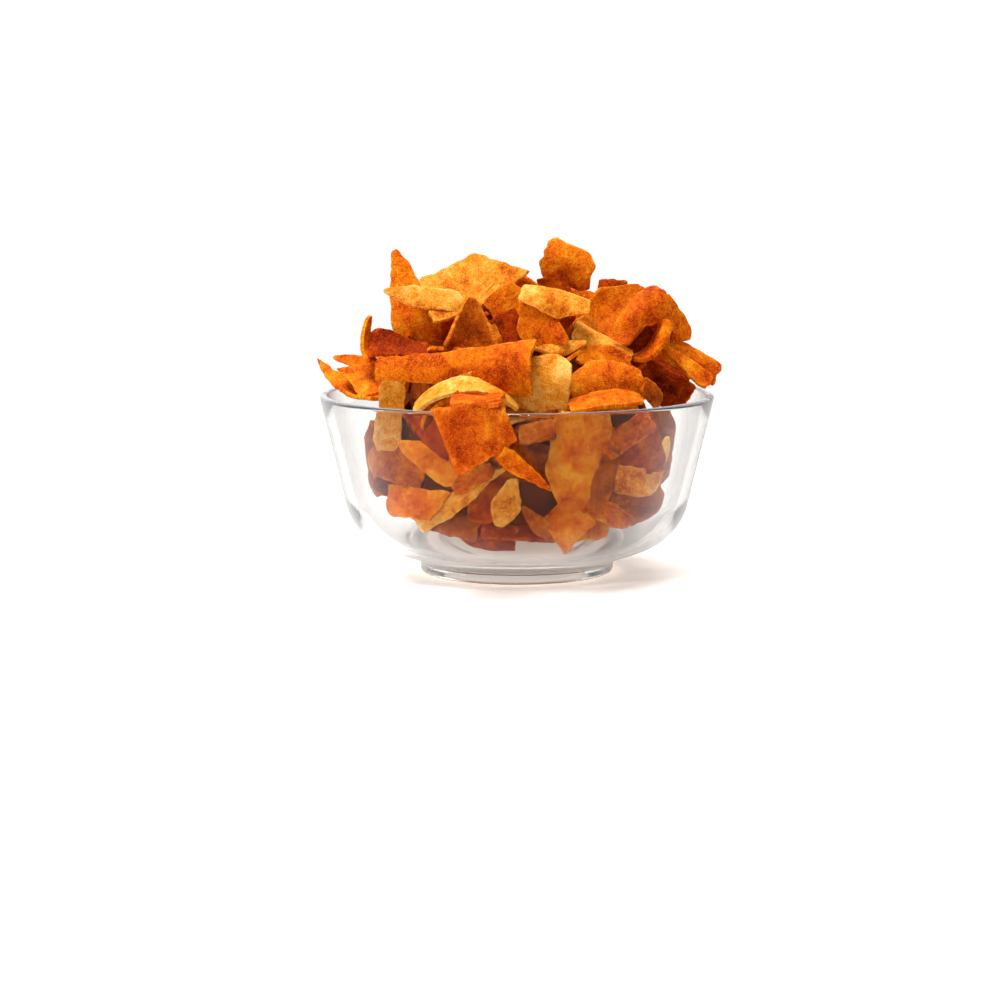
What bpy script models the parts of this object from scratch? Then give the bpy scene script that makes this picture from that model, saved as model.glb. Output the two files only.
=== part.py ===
"""A small footed glass bowl heaped with curled corn crisps."""
import math
import random

import bmesh
import bpy
import numpy as np
from mathutils import Vector

# The bowl, in millimetres.
RIM_RADIUS = 70.0        # outside of the wall just under the lip
BOWL_HEIGHT = 64.0
WALL_LEAN = 0.236        # how much the wall closes in for each millimetre down
INNER_LEAN = 0.25        # the same inside, as the wall gets thicker downward
WALL_THICK = 2.8         # measured level, near the rim
LIP_START = 62.5         # height at which the lip begins to round over
OUTER_BEND = (39.66, 29.73, 22.0)    # centre radius, centre height and radius of the outer curve
INNER_BEND = (35.21, 33.5, 24.0)      # the same for the inner curve, rounder as the belly is thick
BELLY_TURN = 70.0        # the outer curve stops at this many degrees from upright
NECK = (36.0, 5.0)       # where the bowl meets its foot
FOOT_OUTER = 34.5
FOOT_INNER = 27.5
FOOT_RECESS = 4.5
FLOOR = 9.5             # inner floor at the middle
BOWL_STEPS = 44          # facets round the bowl

# The crisps, in millimetres.
CRISP_THICK = 1.5
GLASS_GAP = 0.6          # every crisp keeps at least this far off the glass
SIDE_SLACK = 0.13        # the heap stays this share off the wall at its left and right
CELLS_ALONG = 5          # for the crisps in front
SIDE_CELLS = 4
CELLS_ACROSS = 2
SEED = 64

# Outline of a flat crisp: share of the width at the first end, share of the length over which it
# opens to the full width, then the same two for the other end.
OUTLINES = {
    "slab": (0.80, 0.12, 0.80, 0.12),
    "strip": (0.55, 0.15, 0.55, 0.15),
    "oval": (0.45, 0.40, 0.45, 0.40),
    "leaf": (0.12, 0.50, 0.12, 0.50),
    "blade": (0.10, 0.75, 0.80, 0.12),
    "horn": (0.10, 0.40, 0.80, 0.12),
    "flare": (0.30, 1.00, 0.85, 0.08),
}

# The crisps that show from the front. Each is one ribbon of crisp: its outline, where its two ends
# are, its width, how far its face is tipped back from facing forward, how far it is rolled up along
# its length (minus bulges forward), and any crosswise cup or slanted ends.
FRONT = (
    ("long front", "flare", (-49, -36, 76), (4, -54, 79), 20, 20, 12, {"cup": -5, "power": 1.6}),
    ("left tall", "blade", (-43.5, -2, 115), (-33.5, -13, 82), 16.5, 8, -15, {"cup": -1.5}),
    ("top slab", "slab", (-32, -13, 97.5), (-5, -6, 110.5), 21, 38, 40, {"cut": (12, -30)}),
    ("slab wing", "horn", (-46.5, -17, 101), (-19, -12.5, 97), 8.5, 30, 15, {"cut": (0, -25)}),
    ("tent", "blade", (-16, -26, 99.5), (-16, -26, 79), 18, 0, 0, {"cup": 6}),
    ("tent tie", "slab", (-16, -27.5, 88), (-12, -3, 74.5), 9, 0, 0, {}),
    ("red trough", "slab", (-52, -20, 80.5), (-26, -20, 80), 15, 58, 0, {"cup": 4}),
    ("hook", "blade", (-51.5, -16, 92.5), (-50, -24, 77), 7, 62, 70, {}),
    ("left horn", "horn", (-71, 2, 75.5), (-47, -36, 66), 8.5, 45, 45, {"cup": 2, "power": 1.2}),
    ("fork top", "blade", (-65.5, 11, 75.5), (-42, 3, 69.5), 8, 35, -40, {}),
    ("fork low", "blade", (-64.5, 5, 72), (-36, -1, 66.5), 7, 20, -20, {}),
    ("left face", "slab", (-56, -14, 74.5), (-48.5, -32, 67), 11, 20, 0, {"cut": (30, 0)}),
    ("left post", "strip", (-42.5, -37, 73), (-45, -30, 47), 9, 0, -20, {}),
    ("arch", "slab", (-35, -46, 62.5), (0, -50, 65), 9, 66, -105, {}),
    ("front sweep", "blade", (-20.5, -46, 73), (17.5, -52, 71), 20, 0, 20, {"cup": -3}),
    ("sweep top", "blade", (24, -28.5, 84.5), (3, -32.5, 80), 8, 35, 0, {"cup": -2}),
    ("dome", "oval", (17.5, -39, 68), (43.5, -33, 70), 20, 12, -20, {"cup": -5}),
    ("rim lip", "oval", (17.5, -56.5, 63), (42, -50.5, 66), 12, 66, -30, {}),
    ("ridge", "slab", (20, -23, 89), (39.5, -23, 79), 11, 60, 0, {"cup": -2}),
    ("under ridge", "oval", (20.5, -30, 80.5), (39.5, -28, 77), 11, 30, 20, {}),
    ("scoop wing", "blade", (33.5, -23, 87), (52, -13, 100), 13, 20, -20, {"cup": -4}),
    ("scoop back", "blade", (52.5, -12, 100), (57, -10, 82.5), 11, 25, 0, {}),
    ("scoop lip", "slab", (52, -17, 91), (40.5, -23, 78), 8, 65, 90, {}),
    ("scoop hollow", "slab", (37, -10.5, 80), (51, -10.5, 91), 17, 10, 0, {}),
    ("right end", "slab", (51.5, -12, 82.5), (70.8, -10, 71.5), 9, 25, 0, {"cup": -1.5}),
    ("right edge", "blade", (50.5, -13, 83), (67.5, -17, 69), 7, 40, 15, {}),
    ("dark slab", "slab", (43.5, -7, 71.5), (60, -11, 62), 13, 20, 0, {}),
    ("dark back", "slab", (41, 11, 77), (62, 7, 67.5), 10, 15, 0, {}),
    ("thin arch", "slab", (43, -35.5, 70), (49, -31.5, 63.5), 7, 50, -50, {}),
    ("back sheet", "slab", (25, -2, 100), (28.5, -12, 84), 20, 15, 0, {"cup": -3, "cut": (20, 0)}),
    ("back point", "horn", (44, -2, 102), (28, -14, 85), 21, 15, 0, {"cup": 3, "cut": (-15, 0)}),
    ("peek", "slab", (29, 3, 100), (38.5, 3, 98.5), 9, 15, -60, {}),
    ("crown", "slab", (9.5, 0.5, 113.5), (26.5, 1.5, 105), 13.5, 12, -15, {"cup": -3, "cut": (15, -15)}),
    ("crown foot", "slab", (11.5, 0, 106), (16, -4, 94), 10, -15, 40, {}),
    ("pale leaf", "oval", (1.5, -25, 101.5), (25, -27, 96), 11, 38, 0, {"cup": -2}),
    ("orange blade", "blade", (17.5, -31, 84.5), (0.5, -25, 95.5), 15, 10, 0, {"cup": -2, "cut": (0, -32)}),
    ("mid behind", "slab", (-8, -18, 92), (2.5, -14, 100), 14, 10, 0, {}),
    ("mid red", "slab", (-6.5, -26, 88), (1.5, -24, 91), 11, 10, 0, {}),
    ("slab under", "slab", (-1.5, -7, 104), (-11.5, -11, 95), 8, -10, 0, {}),
    ("rim hook", "slab", (-17, -71.4, 67.5), (-9.5, -71.6, 47.5), 23, 5, 0,
     {"cup": -1.5, "cut": (12, -20)}),
    ("rim bridge", "slab", (-14.5, -71.5, 67), (-13, -50, 68), 17, 0, -20, {}),
    ("rim inner", "slab", (-16, -58, 67), (-28, -56, 50), 12, 5, 0, {}),
    ("rim tail", "blade", (11, -67, 38), (-6, -71.4, 51), 6.5, 0, 0, {}),
    ("big leaf", "horn", (17, -46, 26), (22.5, -56, 62), 19, 5, 0, {"cup": -3}),
    ("stem", "slab", (21.5, -46, 29), (12, -40, 18), 14, 15, 0, {}),
    ("diagonal", "blade", (-4.5, -45, 43), (-34, -33, 21), 8.5, 0, -20, {}),
    ("over diagonal", "strip", (-9, -46, 43), (-21.5, -42, 35), 6, 10, 0, {}),
    ("low leaf", "leaf", (-1, -41.5, 39.5), (-6.5, -33.5, 19.5), 11, 0, -15, {}),
    ("small leaf", "leaf", (2, -44.5, 29), (12, -36.5, 15), 7, 10, -20, {}),
    ("wedge", "blade", (-40.5, -38, 51), (-19.5, -44, 41), 13, 0, 0, {"cup": -2}),
    ("left low", "slab", (-44.5, -32, 30), (-26, -40, 28.5), 11, 10, 0, {"cut": (0, 30)}),
    ("left band", "slab", (-50, -28, 47), (-31.5, -34, 39), 14, 5, 0, {}),
    ("left under", "slab", (-47, -27, 39), (-33.5, -33, 32), 12, 10, 0, {}),
    ("right wing", "slab", (45, -44, 59), (29, -52, 49.5), 8, 10, -20, {}),
    ("right strip", "strip", (33, -52, 51), (25.5, -46, 29), 7, 10, 0, {}),
    ("pale curl", "blade", (52, -23.5, 51), (42.5, -25.5, 32), 8, -20, -30, {}),
    ("curl face", "slab", (33, -40.5, 39), (44, -32.5, 36), 10, 30, 30, {}),
    ("right brown", "slab", (37.5, -32.5, 56), (42.5, -30.5, 38), 20, 10, 0, {}),
    ("pale edge", "oval", (22, -46, 30), (39, -38, 22.5), 9, 45, -20, {}),
    ("bottom orange", "slab", (11, -34, 20), (32, -32, 21), 11, 30, 0, {"cut": (0, 25)}),
    ("right low", "slab", (33, -31, 26), (51, -21, 30), 15, 10, 0, {}),
    ("under rim", "slab", (0.5, -54, 55), (12.5, -54, 57), 6, 30, 20, {}),
    ("bottom left", "slab", (-29, -32, 23.5), (-13, -34, 19.5), 11, 20, 0, {"cut": (25, 0)}),
    ("bottom mid", "slab", (-12, -32, 19.5), (11, -32, 19), 10, 30, 0, {}),
    ("back lean", "slab", (-16, 41, 76), (-8, 71.5, 69), 13, 0, -25, {"cup": 2}),
)
OUTSIDE = ("rim hook", "rim tail")

# Rows of crisps round the sides and the back: height, distance from the middle, how many, and the
# bearings they are spread over (0 is to the right, 90 is straight back).
NARROW = 0.86            # these rows are narrower from side to side than from front to back
ROWS = (
    (25.0, 36.0, 3, 40, 140),
    (36.0, 45.0, 5, 0, 180),
    (50.0, 48.5, 6, 0, 180),
    (64.0, 48.5, 7, 5, 175),
    (75.0, 41.0, 8, 5, 175),
    (84.0, 31.0, 6, 20, 160),
    (89.0, 22.0, 4, 40, 140),
)

# The plain core the crisps are stuck to: radius and height, from the bottom up.
CORE = ((0, 12), (19, 12.5), (30, 16.5), (36, 24), (39.5, 36), (41.5, 50), (39.5, 58.5), (33.5, 67),
        (23, 75), (11, 79), (0, 81))
CORE_STEPS = 18


def clear_scene():
    for item in list(bpy.data.objects):
        bpy.data.objects.remove(item, do_unlink=True)


def material(name, colour, rough, alpha=1.0):
    mat = bpy.data.materials.new(name)
    mat.use_nodes = True
    shader = mat.node_tree.nodes["Principled BSDF"]
    shader.inputs["Base Color"].default_value = (*colour, 1.0)
    shader.inputs["Roughness"].default_value = rough
    shader.inputs["Alpha"].default_value = alpha
    return mat


def arc(centre_r, centre_z, radius, start, stop, steps):
    """Points of a circle in the profile, from one angle to another in degrees."""
    turns = [math.radians(start + (stop - start) * i / steps) for i in range(steps + 1)]
    return [(centre_r + radius * math.cos(a), centre_z + radius * math.sin(a)) for a in turns]


def outer_radius(height):
    return RIM_RADIUS - WALL_LEAN * (LIP_START - height)


def inner_radius(height):
    """Radius of the inside of the glass at this height."""
    centre_r, centre_z, bend = INNER_BEND
    lean = math.degrees(math.atan(INNER_LEAN))
    tangent = centre_z - bend * math.sin(math.radians(lean))
    if height >= tangent:
        return RIM_RADIUS - WALL_THICK - INNER_LEAN * (LIP_START - height)
    drop = min(bend, centre_z - height)
    return centre_r + math.sqrt(bend * bend - drop * drop)


def bowl_profile():
    """Half section of the glass, going out under the foot, up the outside and down the inside."""
    lean = math.degrees(math.atan(WALL_LEAN))
    points = [(0, FOOT_RECESS), (FOOT_INNER - 1.3, FOOT_RECESS), (FOOT_INNER, FOOT_RECESS - 1.3)]
    points += [(FOOT_INNER + 1.2, 0), (FOOT_OUTER - 1.4, 0), (FOOT_OUTER - 0.2, 1.2)]
    points += [(FOOT_OUTER, NECK[1] - 1.8), NECK]
    points += arc(*OUTER_BEND, -BELLY_TURN, -lean, 5)
    lip = WALL_THICK / 2
    points += arc(RIM_RADIUS - lip, LIP_START, lip, 0, 180, 4)
    inner_lean = math.degrees(math.atan(INNER_LEAN))
    points += arc(*INNER_BEND, -inner_lean, -90, 6)
    points += [(0, FLOOR)]
    return points


def lathe(name, profile, steps, wobble=None):
    """Spin a half section whose first and last points are on the axis into one closed solid."""
    bm = bmesh.new()
    rings = []
    for number, (radius, height) in enumerate(profile):
        if radius == 0:
            rings.append([bm.verts.new((0, 0, height / 1000))])
            continue
        ring = []
        for step in range(steps):
            turn = 2 * math.pi * step / steps
            reach = radius * (wobble(turn, height) if wobble else 1.0)
            ring.append(bm.verts.new((reach * math.cos(turn) / 1000,
                                      reach * math.sin(turn) / 1000, height / 1000)))
        rings.append(ring)
    for lower, upper in zip(rings, rings[1:]):
        for step in range(steps):
            nxt = (step + 1) % steps
            if len(lower) == 1:
                bm.faces.new((lower[0], upper[nxt], upper[step]))
            elif len(upper) == 1:
                bm.faces.new((lower[step], lower[nxt], upper[0]))
            else:
                bm.faces.new((lower[step], lower[nxt], upper[nxt], upper[step]))
    bmesh.ops.recalc_face_normals(bm, faces=bm.faces)
    mesh = bpy.data.meshes.new(name)
    bm.to_mesh(mesh)
    bm.free()
    item = bpy.data.objects.new(name, mesh)
    bpy.context.scene.collection.objects.link(item)
    return item


def unit(vector):
    return vector / np.linalg.norm(vector)


def crisp_axes(start, end, toward, tip):
    """Along, across and face directions of a crisp that runs from start to end."""
    along = unit(end - start)
    face = toward - (toward @ along) * along
    if np.linalg.norm(face) < 0.3:
        face = np.array((0.0, 0.0, 1.0)) - along[2] * along
    face = unit(face)
    upward = np.cross(face, along)
    if abs(upward[2]) < 0.25:
        upward = upward if upward[0] > 0 else -upward
    elif upward[2] < 0:
        upward = -upward
    lean = math.radians(tip)
    face = math.cos(lean) * face + math.sin(lean) * upward
    return along, np.cross(face, along), face


def crisp_grid(cells, outline, start, end, width, tip, bend, more, rng):
    """Middle surface of one crisp as a grid of points, from start to end."""
    start = np.array(start, float)
    end = np.array(end, float)
    toward = np.array(more.get("toward", (0.0, -1.0, 0.0)))
    along, across, face = crisp_axes(start, end, toward, tip)
    chord = np.linalg.norm(end - start)
    turn = math.radians(bend if abs(bend) > 1 else 1)
    roll = chord / (2 * math.sin(turn / 2))
    length = roll * turn
    s = np.linspace(0, 1, cells + 1)[:, None]
    t = np.linspace(-1, 1, CELLS_ACROSS + 1)[None, :]
    first, first_run, last, last_run = OUTLINES[outline]
    share = np.minimum(first + (1 - first) * np.minimum(s / first_run, 1) ** more.get("power", 0.8),
                       last + (1 - last) * np.minimum((1 - s) / last_run, 1) ** 0.8)
    ragged = np.array([[1 + rng.uniform(-0.06, 0.06)] for _ in range(cells + 1)])
    v = t * width / 2 * share * ragged
    cut = more.get("cut", (0, 0))
    u = length * (s - 0.5) + v * ((1 - s) * math.tan(math.radians(cut[0]))
                                  + s * math.tan(math.radians(cut[1])))
    x = roll * np.sin(u / roll)
    z = roll * (math.cos(turn / 2) - np.cos(u / roll)) + more.get("cup", 0) * (2 * v / width) ** 2
    twist = math.radians(more.get("twist", 0)) * (s - 0.5)
    v, z = v * np.cos(twist) - z * np.sin(twist), v * np.sin(twist) + z * np.cos(twist)
    middle = (start + end) / 2
    return (middle + x[..., None] * along + v[..., None] * across + z[..., None] * face)


def off_the_glass(grid, outside):
    """Push the points of a crisp clear of the wall, the floor and the lip."""
    room = CRISP_THICK / 2 + GLASS_GAP
    for point in grid.reshape(-1, 3):
        reach = math.hypot(point[0], point[1])
        height = point[2]
        if outside:
            wanted = max(reach, outer_radius(min(height, LIP_START)) + room)
            if height < BOWL_HEIGHT + room:
                point[:2] *= wanted / reach
            continue
        if height > LIP_START - 2 and reach > RIM_RADIUS - WALL_THICK - room:
            point[2] = max(height, BOWL_HEIGHT + room)
        elif height < BOWL_HEIGHT + room:
            point[2] = height = max(height, FLOOR + 0.5 + room)
            slack = SIDE_SLACK * (point[0] / reach) ** 2 * min(1, max(0, (LIP_START - height) / 12))
            limit = (inner_radius(min(height - 0.5, LIP_START)) - room) * (1 - slack)
            if reach > limit:
                point[:2] *= limit / reach
    return grid


def crisp_mesh(grid):
    """Vertices and quads of a crisp of even thickness round its middle surface."""
    du = np.gradient(grid, axis=0)
    dv = np.gradient(grid, axis=1)
    normal = np.cross(du, dv)
    normal /= np.linalg.norm(normal, axis=2, keepdims=True)
    rows, cols = grid.shape[:2]
    verts = np.concatenate([(grid + normal * CRISP_THICK / 2).reshape(-1, 3),
                            (grid - normal * CRISP_THICK / 2).reshape(-1, 3)])
    half = rows * cols

    def at(row, col):
        return row * cols + col

    faces = []
    for row in range(rows - 1):
        for col in range(cols - 1):
            quad = (at(row, col), at(row + 1, col), at(row + 1, col + 1), at(row, col + 1))
            faces.append(quad)
            faces.append(tuple(half + q for q in reversed(quad)))
    border = [at(row, 0) for row in range(rows)] + [at(rows - 1, col) for col in range(1, cols)]
    border += [at(row, cols - 1) for row in range(rows - 2, -1, -1)]
    border += [at(0, col) for col in range(cols - 2, 0, -1)]
    for here, there in zip(border, border[1:] + border[:1]):
        faces.append((here, half + here, half + there, there))
    return [Vector(v) for v in verts], faces


def side_crisps():
    """Crisps lying at random round the sides and the back of the heap."""
    rng = random.Random(SEED)
    kinds = ("slab", "slab", "strip", "oval", "leaf", "blade", "horn")
    for height, reach, count, first, last in ROWS:
        for number in range(count):
            spread = (last - first) / max(1, count - 1)
            bearing = math.radians(first + spread * number + rng.uniform(-6, 6))
            out = np.array((math.cos(bearing), math.sin(bearing), 0.0))
            level = np.array((-out[1], out[0], 0.0))
            rise = math.radians(rng.uniform(-65, 65))
            along = math.cos(rise) * level + math.sin(rise) * np.array((0.0, 0.0, 1.0))
            middle = out * (reach + rng.uniform(-3, 3))
            middle[0] *= NARROW
            middle[2] = height + rng.uniform(-3, 3)
            half = rng.uniform(13, 19) * along
            more = {"toward": tuple(out), "twist": rng.uniform(-35, 35), "cup": rng.uniform(-3, 2)}
            bend = rng.choice((-1, -1, 1)) * rng.uniform(30, 100)
            yield ("side", rng.choice(kinds), middle - half, middle + half, rng.uniform(12, 18),
                   rng.uniform(-15, 45), bend, more)


def add_object(name, verts, faces, collection):
    mesh = bpy.data.meshes.new(name)
    mesh.from_pydata([v / 1000 for v in verts], [], faces)
    bm = bmesh.new()
    bm.from_mesh(mesh)
    bmesh.ops.triangulate(bm, faces=bm.faces)
    bmesh.ops.recalc_face_normals(bm, faces=bm.faces)
    bm.to_mesh(mesh)
    bm.free()
    item = bpy.data.objects.new(name, mesh)
    collection.objects.link(item)
    return item


def keep_largest(item):
    """Drop loose scraps and fill sealed hollows by keeping only the outer skin."""
    bm = bmesh.new()
    bm.from_mesh(item.data)
    bm.verts.ensure_lookup_table()
    seen = set()
    shells = []
    for vert in bm.verts:
        if vert in seen:
            continue
        shell = []
        queue = [vert]
        seen.add(vert)
        while queue:
            here = queue.pop()
            shell.append(here)
            for edge in here.link_edges:
                other = edge.other_vert(here)
                if other not in seen:
                    seen.add(other)
                    queue.append(other)
        shells.append(shell)
    shells.sort(key=len, reverse=True)
    extra = [vert for shell in shells[1:] for vert in shell]
    bmesh.ops.delete(bm, geom=extra, context="VERTS")
    bm.to_mesh(item.data)
    bm.free()
    return len(shells) - 1


def build_crisps():
    def lumps(turn, height):
        return 1.03 + 0.02 * math.sin(3 * turn + height / 9) + 0.015 * math.sin(5 * turn - height / 6)

    crisps_node = lathe("crisps", CORE, CORE_STEPS, lumps)
    pile = bpy.data.collections.new("pile")
    bpy.context.scene.collection.children.link(pile)
    for number, crisp in enumerate((*FRONT, *side_crisps())):
        cells = SIDE_CELLS if crisp[0] == "side" else CELLS_ALONG
        grid = crisp_grid(cells, *crisp[1:], random.Random(number))
        grid = off_the_glass(grid, crisp[0] in OUTSIDE)
        add_object("crisp %03d" % number, *crisp_mesh(grid), pile)
    join = crisps_node.modifiers.new("heap", "BOOLEAN")
    join.operation = "UNION"
    join.operand_type = "COLLECTION"
    join.collection = pile
    join.solver = "EXACT"
    join.use_self = False
    graph = bpy.context.evaluated_depsgraph_get()
    whole = bpy.data.meshes.new_from_object(crisps_node.evaluated_get(graph))
    crisps_node.modifiers.clear()
    crisps_node.data = whole
    for item in list(pile.objects):
        bpy.data.objects.remove(item, do_unlink=True)
    bpy.data.collections.remove(pile)
    print("shells dropped:", keep_largest(crisps_node))
    crisps_node.data.materials.clear()
    crisps_node.data.materials.append(material("seasoned corn crisp", (0.62, 0.22, 0.035), 0.7))
    return crisps_node


def main():
    clear_scene()
    bowl = lathe("bowl", bowl_profile(), BOWL_STEPS)
    bowl.data.materials.append(material("clear glass", (0.85, 0.9, 0.9), 0.05, 0.35))
    bowl.data.shade_smooth()
    build_crisps()


main()
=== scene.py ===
# %% [markdown]
# # A glass bowl heaped with corn crisps
# The bowl is thick clear glass on a low foot. The crisps are ribbons of fried corn dough, curled
# by the fryer and dusted with an orange seasoning. This lesson first loads the solid model, whose
# box the finished bowl has to fit, then sets up the view, and then makes the glass, the crisps and
# their finish.

import math
import random

import bpy
import numpy as np
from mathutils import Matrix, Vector, noise


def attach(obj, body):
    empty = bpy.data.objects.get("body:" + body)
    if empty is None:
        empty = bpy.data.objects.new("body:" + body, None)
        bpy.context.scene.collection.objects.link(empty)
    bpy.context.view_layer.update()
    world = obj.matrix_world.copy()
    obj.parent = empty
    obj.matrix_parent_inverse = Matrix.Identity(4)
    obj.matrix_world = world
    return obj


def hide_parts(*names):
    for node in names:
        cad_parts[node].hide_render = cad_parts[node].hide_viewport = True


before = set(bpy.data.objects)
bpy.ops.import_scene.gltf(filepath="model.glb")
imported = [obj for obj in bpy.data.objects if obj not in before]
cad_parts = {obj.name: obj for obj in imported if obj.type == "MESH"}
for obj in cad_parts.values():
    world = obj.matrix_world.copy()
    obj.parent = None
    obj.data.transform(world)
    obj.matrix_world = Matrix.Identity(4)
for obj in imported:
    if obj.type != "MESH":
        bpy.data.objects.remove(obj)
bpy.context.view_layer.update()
MM = 0.001


def deselect_all():
    if bpy.context.object and bpy.context.object.mode != "OBJECT":
        bpy.ops.object.mode_set(mode="OBJECT")
    bpy.ops.object.select_all(action="DESELECT")


def make_active(item):
    """Select one object alone, so that the next operator works on it and nothing else."""
    deselect_all()
    item.select_set(True)
    bpy.context.view_layer.objects.active = item


deselect_all()

# %% [markdown]
# ## The camera
# The photograph looks slightly down on the bowl from about a metre away, with a long lens, so the
# rim is a flat ellipse. A lens can be shifted to bring the bowl to its place in the picture, but a
# shift follows the camera into every other view. So the camera itself is moved a little to the left
# and turned down towards a point low on the bowl.

# %% Place the camera
CAMERA_AWAY = 1060.0     # in front of the bowl's middle, in millimetres
CAMERA_UP = 172.0        # above the table
CAMERA_LEFT = 6.04       # the bowl stands a little right of the picture's middle
AIM_UP = 25.3            # height that the middle of the picture looks at
LENS = 107.6             # focal length, with a sensor as wide as 35 mm film
SENSOR = 36.0
NEAREST = 0.02           # in metres; nothing nearer to the lens is drawn

view = bpy.data.cameras.new("camera")
view.lens = LENS
view.sensor_width = SENSOR
view.clip_start = NEAREST
camera = bpy.data.objects.new("camera", view)
bpy.context.scene.collection.objects.link(camera)
camera.location = (-CAMERA_LEFT * MM, -CAMERA_AWAY * MM, CAMERA_UP * MM)
look_down = math.atan2(CAMERA_UP - AIM_UP, CAMERA_AWAY)
camera.rotation_euler = (math.pi / 2 - look_down, 0, 0)
bpy.context.scene.camera = camera
print("camera looks down by", round(math.degrees(look_down), 2), "degrees")

# %% [markdown]
# ## Helpers for colours and nodes
# A colour picker shows colours as sRGB hex codes, but Blender's sockets want linear light, so one
# function turns the one into the other. Materials can be drawn by hand in the Shader editor. Here a
# single function adds any node with its settings and links, so a material reads like a recipe.

# %% Write the helpers
def hex_colour(code):
    """Linear colour of an sRGB hex code, the form in which colours are usually written down."""
    values = [int(code[i:i + 2], 16) / 255 for i in (1, 3, 5)]
    return tuple(v / 12.92 if v <= 0.04045 else ((v + 0.055) / 1.055) ** 2.4 for v in values)


def add(tree, kind, settings, inputs):
    """Add a node, with its settings, and with its inputs set or linked."""
    node = tree.nodes.new(kind)
    for name, value in settings.items():
        setattr(node, name, value)
    for name, value in inputs.items():
        if isinstance(value, bpy.types.NodeSocket):
            tree.links.new(value, node.inputs[name])
        else:
            node.inputs[name].default_value = value
    return node


def new_material(name):
    """An empty material, with its node tree and its output node."""
    made = bpy.data.materials.new(name)
    made.use_nodes = True
    made.node_tree.nodes.clear()
    output = made.node_tree.nodes.new("ShaderNodeOutputMaterial")
    return made, made.node_tree, output


print("pure white is", hex_colour("#FFFFFF"), "and mid grey",
      [round(v, 3) for v in hex_colour("#808080")])

# %% [markdown]
# ## The table
# The bowl stands on a white laminate table, matt and plain, that studio light turns nearly to pure
# white, with a soft warm shadow round the foot. Stronger lamps would give that white, but they
# would bleach the crisps too. So the table glows faintly by itself, a painted light, and most
# under the foot, where real glass gathers light and ours lets it pass straight through.

# %% Lay the table
TABLE_SIZE = 4.0         # in metres
TABLE_BACK = 0.45        # the far edge lies this far behind the bowl
# The glow is painted light: the table shines by itself, strongest under the foot.
GLOW_UNDER = 1.1         # strength of the glow under the foot
GLOW_ROUND = 0.32        # and on the rest of the table
GLOW_FULL = 0.025        # in metres from the bowl's middle: the glow is full up to here
GLOW_FADED = 0.042       # and has fallen to that of the rest here

bpy.ops.mesh.primitive_plane_add(size=TABLE_SIZE, location=(0, TABLE_BACK - TABLE_SIZE / 2, 0))
table = bpy.context.object
table.name = "table"
paint, tree, output = new_material("white laminate")
place = add(tree, "ShaderNodeTexCoord", {}, {}).outputs["Object"]
away = add(tree, "ShaderNodeVectorMath", {"operation": "DISTANCE"}, {0: place})
away.inputs[1].default_value = (0, TABLE_SIZE / 2 - TABLE_BACK, 0)
glow = add(tree, "ShaderNodeMapRange", {"interpolation_type": "SMOOTHSTEP"}, {
    "Value": away.outputs["Value"], "From Min": GLOW_FULL, "From Max": GLOW_FADED,
    "To Min": GLOW_UNDER, "To Max": GLOW_ROUND})
shader = add(tree, "ShaderNodeBsdfPrincipled", {}, {
    "Roughness": 0.5, "Emission Strength": glow.outputs[0]})
shader.inputs["Base Color"].default_value = (*hex_colour("#F3F2F1"), 1)
# The glow's warm tint is painted light too: the orange light the crisps throw into the shadow.
shader.inputs["Emission Color"].default_value = (*hex_colour("#FFE8D4"), 1)
tree.links.new(shader.outputs[0], output.inputs["Surface"])
table.data.materials.append(paint)
print("table:", TABLE_SIZE, "m square, with its far edge", TABLE_BACK, "m behind the bowl")

# %% [markdown]
# ## The light
# The studio is even and soft. A picture of a studio could be wrapped round the scene, but a sky
# that fades from white behind the bowl to dim on the camera's side does the same with two numbers.
# The glass and the crisps then mirror little, and their colours stay deep. The sky sends matt
# surfaces only a share of its light, so that the shadows between the crisps stay dark. A wide lamp
# above gives the bright tops, and another from the left shows how the crisps curl.

# %% Paint the sky
SKY_BACK = 1.05          # strength of the light from behind the bowl
SKY_FRONT = 0.34         # and from the camera's side
SKY_FADE = (-0.2, 0.8)   # the fade runs between these, from -1 in front to 1 behind
SKY_FILL = 0.5           # share of the sky's light that falls on matt surfaces

sky = bpy.data.worlds.new("studio")
bpy.context.scene.world = sky
sky.use_nodes = True
tree = sky.node_tree
tree.nodes.clear()
place = add(tree, "ShaderNodeTexCoord", {}, {})
split = add(tree, "ShaderNodeSeparateXYZ", {}, {0: place.outputs["Generated"]})
fade = add(tree, "ShaderNodeMapRange", {"interpolation_type": "SMOOTHSTEP"}, {
    "Value": split.outputs["Y"], "From Min": SKY_FADE[0], "From Max": SKY_FADE[1],
    "To Min": SKY_FRONT, "To Max": SKY_BACK})
rays = add(tree, "ShaderNodeLightPath", {}, {})
fill = add(tree, "ShaderNodeMapRange", {}, {
    "Value": rays.outputs["Is Diffuse Ray"], "To Min": 1.0, "To Max": SKY_FILL})
power = add(tree, "ShaderNodeMath", {"operation": "MULTIPLY"}, {
    0: fade.outputs[0], 1: fill.outputs[0]})
light = add(tree, "ShaderNodeBackground", {}, {"Strength": power.outputs[0]})
light.inputs["Color"].default_value = (1, 1, 1, 1)
add(tree, "ShaderNodeOutputWorld", {}, {"Surface": light.outputs[0]})
print("sky:", SKY_FRONT, "in front to", SKY_BACK, "behind")


# %% Hang the lamps
def hang_lamp(name, place, aim, size, power):
    """A soft square lamp at a place, turned to shine on an aim, both in metres."""
    lamp = bpy.data.lights.new(name, "AREA")
    lamp.size = size
    lamp.energy = power
    item = bpy.data.objects.new(name, lamp)
    bpy.context.scene.collection.objects.link(item)
    item.location = place
    item.rotation_euler = (Vector(aim) - Vector(place)).to_track_quat("-Z", "Y").to_euler()
    print(name, power, "W,", size, "m wide")


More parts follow.
